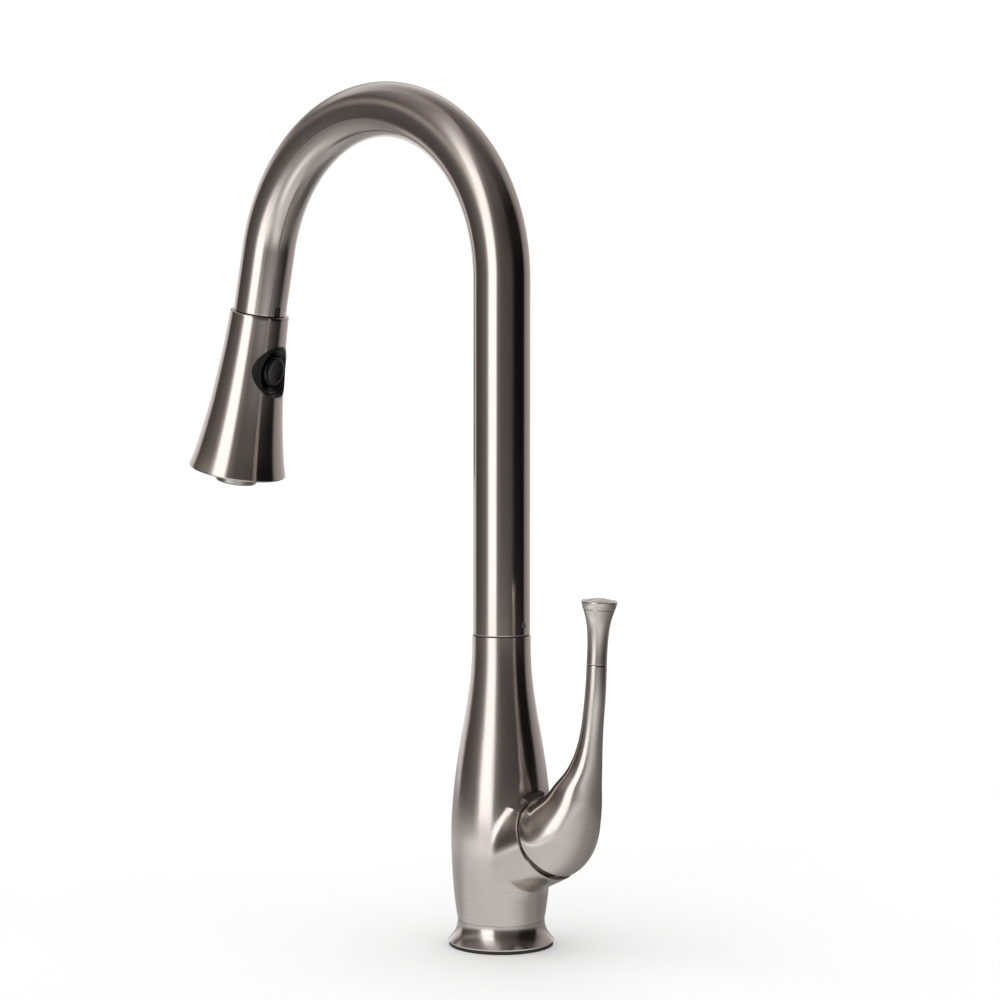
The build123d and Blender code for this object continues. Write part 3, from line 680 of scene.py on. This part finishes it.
def relief_cutter():
    """Wedge that leaves the crescent under the skirt, so that the lever can tip outwards."""
    near, far, wide = -1.0, -30, 40
    low, inner_top, outer_top = 25, PIVOT_S - 3.2, PIVOT_S + 1.0
    outline = ((near, low), (near, inner_top), (-SKIRT_R, outer_top), (far, outer_top), (far, low))
    return cutter([[BARREL @ Vector((u, y, s)) for u, s in outline] for y in (-wide, wide)])


# ---------------------------------------------------------------- studio
# The studio as the metal reflects it: (bearing in degrees, brightness). The bearing is 0 where the
# camera stands, and grows to its right as it faces the faucet.
CAMERA_BEARING = radians(-45.75)
STUDIO_STRENGTH = 1.9
ROOM_STRENGTH = 1.16    # even white room that lights the floor and what is matt
CORNICE_BAND = (0.2, 0.58)      # heights as the sine of the elevation
CEILING_RISE = (0.55, 0.95)
WALLS = (
    (-180, 0.6), (-152, 0.52), (-128, 0.42), (-117, 0.04), (-92, 0.055), (-66, 0.10), (-56, 0.3),
    (-50, 1.0), (-24, 1.0), (-17, 0.12), (0, 0.062), (38, 0.045), (54, 0.005), (98, 0.004), (108, 0.16),
    (150, 0.3), (180, 0.6),
)
# a warm band of light between walls and ceiling
CORNICE = (
    (-180, 0.2), (-130, 0.06), (-100, 0.16), (-66, 0.24), (-54, 0.5), (-46, 0.9), (-26, 0.9), (-15, 0.12),
    (0, 0.062), (54, 0.01), (98, 0.01), (120, 0.2), (180, 0.3),
)
CEILING = (
    (-180, 0.1), (-150, 0.14), (-125, 0.2), (-100, 0.2), (-80, 0.12), (-52, 0.3), (-18, 0.3), (4, 0.1),
    (60, 0.06), (120, 0.08), (180, 0.1),
)
# Painted light and shade on the table top, which only the metal sees: it fades unevenly into the dark room,
# one ring of stops for each distance in metres.
PAINTED_TABLE_RINGS = (
    (0.18, ((-180, 0.5), (-110, 0.5), (-85, 0.78), (-10, 0.86), (15, 0.88), (35, 0.74), (60, 0.42),
            (100, 0.28), (180, 0.35))),
    (0.26, ((-180, 0.5), (-100, 0.8), (-62, 1.5), (-38, 1.4), (-18, 1.09), (4, 0.92), (24, 0.65), (46, 0.5),
            (70, 0.33), (98, 0.2), (160, 0.14), (180, 0.3))),
    (0.45, ((-180, 0.4), (-70, 0.5), (-40, 0.6), (-13, 0.9), (12, 1.3), (25, 1.2), (45, 0.7), (70, 0.3),
            (108, 0.2), (142, 0.1), (180, 0.3))),
    (0.75, ((-180, 0.5), (-120, 0.3), (-70, 0.3), (-50, 1.5), (-25, 1.5), (-15, 0.5), (20, 0.3), (50, 0.12),
            (98, 0.05), (120, 0.3), (180, 0.5))),
)
WALL_TINT = (1.1, 1.0)          # red and blue over green
CORNICE_TINT = (1.12, 0.91)
# tint of the darker stops of the table's painted light and shade
PAINTED_TABLE_TINT = (1.035, 0.975)
FLOOR_R = 1.0           # metres


def bearing_nodes(tree, vector):
    """The vector turned so that the camera's side is bearing 0: its parts, and its bearing as 0 to 1."""
    add, link = tree.nodes.new, tree.links.new
    mapping = add("ShaderNodeMapping")
    mapping.inputs["Rotation"].default_value = (0, 0, -CAMERA_BEARING)
    link(vector, mapping.inputs["Vector"])
    split = add("ShaderNodeSeparateXYZ")
    link(mapping.outputs["Vector"], split.inputs[0])
    turn = add("ShaderNodeMath")
    turn.operation = "ARCTAN2"
    link(split.outputs["Y"], turn.inputs[0])
    link(split.outputs["X"], turn.inputs[1])
    bearing = add("ShaderNodeMapRange")
    bearing.inputs["From Min"].default_value, bearing.inputs["From Max"].default_value = -pi, pi
    link(turn.outputs[0], bearing.inputs["Value"])
    return split, bearing.outputs["Result"]


def ring_ramp(tree, bearing, stops, tint, scale=1.0):
    """Brightness round the studio, divided by scale; what is not a lamp is tinted."""
    lamp = 0.5
    ramp = tree.nodes.new("ShaderNodeValToRGB")
    colours = []
    for angle, value in stops:
        red, blue = tint if value < lamp else (1.0, 1.0)
        level = value / scale
        colours.append(((angle + 180) / 360, (level * red, level, level * blue, 1.0)))
    fill_ramp(ramp.color_ramp.elements, colours)
    tree.links.new(bearing, ramp.inputs["Fac"])
    return ramp.outputs["Color"]


def rising_share(tree, height, band):
    """How far the height has come through the band, as 0 to 1."""
    share = tree.nodes.new("ShaderNodeMapRange")
    share.inputs["From Min"].default_value, share.inputs["From Max"].default_value = band
    tree.links.new(height, share.inputs["Value"])
    return share.outputs["Result"]


def mixed_colour(tree, share, first, second):
    mix = tree.nodes.new("ShaderNodeMix")
    mix.data_type = "RGBA"
    for source, socket in ((share, "Factor"), (first, "A"), (second, "B")):
        tree.links.new(source, mix.inputs[socket])
    return mix.outputs["Result"]


def seen_by_metal(tree, plain, mirrored):
    """Shader that differs for what looks at it: mirrored for glossy rays, plain for all others."""
    path = tree.nodes.new("ShaderNodeLightPath")
    either = tree.nodes.new("ShaderNodeMixShader")
    for source, socket in ((path.outputs["Is Glossy Ray"], 0), (plain, 1), (mirrored, 2)):
        tree.links.new(source, either.inputs[socket])
    return either.outputs[0]


def background(tree, strength):
    node = tree.nodes.new("ShaderNodeBackground")
    node.inputs["Color"].default_value = (1, 1, 1, 1)
    node.inputs["Strength"].default_value = strength
    return node


def studio_world():
    """Even white for the eye and for matt surfaces; strip lights and dark flags for what is glossy."""
    world = bpy.data.worlds.new("studio")
    bpy.context.scene.world = world
    world.use_nodes = True
    world.cycles.sampling_method = "NONE"
    tree = world.node_tree
    tree.nodes.clear()
    direction = tree.nodes.new("ShaderNodeTexCoord")
    split, bearing = bearing_nodes(tree, direction.outputs["Generated"])
    height = split.outputs["Z"]
    band = tree.nodes.new("ShaderNodeValToRGB")
    fill_ramp(band.color_ramp.elements, [(0.0, grey(0)), (0.5, grey(1)), (0.6, grey(1)), (1.0, grey(0))])
    tree.links.new(rising_share(tree, height, CORNICE_BAND), band.inputs["Fac"])
    walls = mixed_colour(tree, band.outputs["Color"], ring_ramp(tree, bearing, WALLS, WALL_TINT),
                         ring_ramp(tree, bearing, CORNICE, CORNICE_TINT))
    # the ceiling closes over the walls
    room = mixed_colour(tree, rising_share(tree, height, CEILING_RISE), walls,
                        ring_ramp(tree, bearing, CEILING, WALL_TINT))
    studio = background(tree, STUDIO_STRENGTH)
    tree.links.new(room, studio.inputs["Color"])
    light = seen_by_metal(tree, background(tree, ROOM_STRENGTH).outputs[0], studio.outputs[0])
    tree.links.new(light, tree.nodes.new("ShaderNodeOutputWorld").inputs["Surface"])


def painted_table_light(n):
    """Painted light and shade on the table top, seen only by glossy rays: a glow in rings of light and dark
    about the faucet.
    """
    place = n.add("ShaderNodeTexCoord")
    bearing = bearing_nodes(n.tree, place.outputs["Object"])[1]
    distance = n.add("ShaderNodeVectorMath", operation="LENGTH")
    n.link(place.outputs["Object"], distance.inputs[0])
    top = 2.0               # a ramp holds 0 to 1, and the brightest stops are past 1
    inner, stops = PAINTED_TABLE_RINGS[0]
    colour = ring_ramp(n.tree, bearing, stops, PAINTED_TABLE_TINT, top)
    for outer, stops in PAINTED_TABLE_RINGS[1:]:
        share = n.add("ShaderNodeMapRange", interpolation_type="SMOOTHSTEP")
        share.inputs["From Min"].default_value, share.inputs["From Max"].default_value = inner, outer
        n.link(distance.outputs["Value"], share.inputs["Value"])
        ring = ring_ramp(n.tree, bearing, stops, PAINTED_TABLE_TINT, top)
        colour = mixed_colour(n.tree, share.outputs["Result"], colour, ring)
        inner = outer
    glow = n.add("ShaderNodeEmission")
    glow.inputs["Strength"].default_value = top
    n.link(colour, glow.inputs["Color"])
    return glow.outputs["Emission"]


def floor():
    """Pale round table top; in the metal it mirrors as a painted glow of light and shade, which stands in
    for the studio's light on it.
    """
    sides, drop = 128, 0.0001       # a hair below the gasket
    n = Nodes("floor_white")
    n.set(Roughness=0.85)
    cloud = n.noise(n.scaled("Object", (4.0, 4.0, 4.0)), detail=2.0)
    n.link(n.ramp(cloud, (0.3, grey(0.90)), (0.7, grey(0.92))), n.shader.inputs["Base Color"])
    # glossy rays see the table's painted light and shade, all others its plain white
    surface = seen_by_metal(n.tree, n.shader.outputs["BSDF"], painted_table_light(n))
    n.link(surface, n.tree.nodes["Material Output"].inputs["Surface"])
    verts = [(FLOOR_R * cos(tau * k / sides), FLOOR_R * sin(tau * k / sides), -drop) for k in range(sides)]
    mesh = bpy.data.meshes.new("table_top")
    mesh.from_pydata(verts, [], [tuple(range(sides))])
    top = add_object("table_top", mesh)
    top.data.materials.append(n.material)


def camera():
    """Stands off the -Y side, 44 degrees round towards the lever, at two thirds of the faucet's height."""
    data = bpy.data.cameras.new("camera")
    bearing, tilt, roll = radians(44.252), radians(2.262), radians(0.039)
    distance, height, aside = 1.3010, 0.29145, 0.000745
    data.lens, data.sensor_width = 97.08, 36.0
    data.shift_y = -0.05
    data.clip_start, data.clip_end = 0.05, 20.0
    cam = bpy.data.objects.new("camera", data)
    bpy.context.scene.collection.objects.link(cam)
    right = Vector((cos(bearing), sin(bearing), 0))
    forward = Vector((-sin(bearing) * cos(tilt), cos(bearing) * cos(tilt), -sin(tilt)))
    up = right.cross(forward)
    turn = Matrix((right, up, -forward)).transposed() @ Matrix.Rotation(roll, 3, "Z")
    place = Vector((distance * sin(bearing), -distance * cos(bearing), height)) - right * aside
    cam.matrix_world = Matrix.Translation(place) @ turn.to_4x4()
    bpy.context.scene.camera = cam


# ---------------------------------------------------------------- scene
dress_cad_nodes()
body = brushed_copy("faucet_body", round_body)
body.data.materials[0] = brushed_metal("body_nickel", NICKEL, eased=True)
brushed_copy("base_flange", round_column)
spout_tube()
head_shell()
lever()
knob()
knob_cap()
pull_hose()
studio_world()
floor()
camera()
bpy.context.scene.view_settings.view_transform = "Standard"
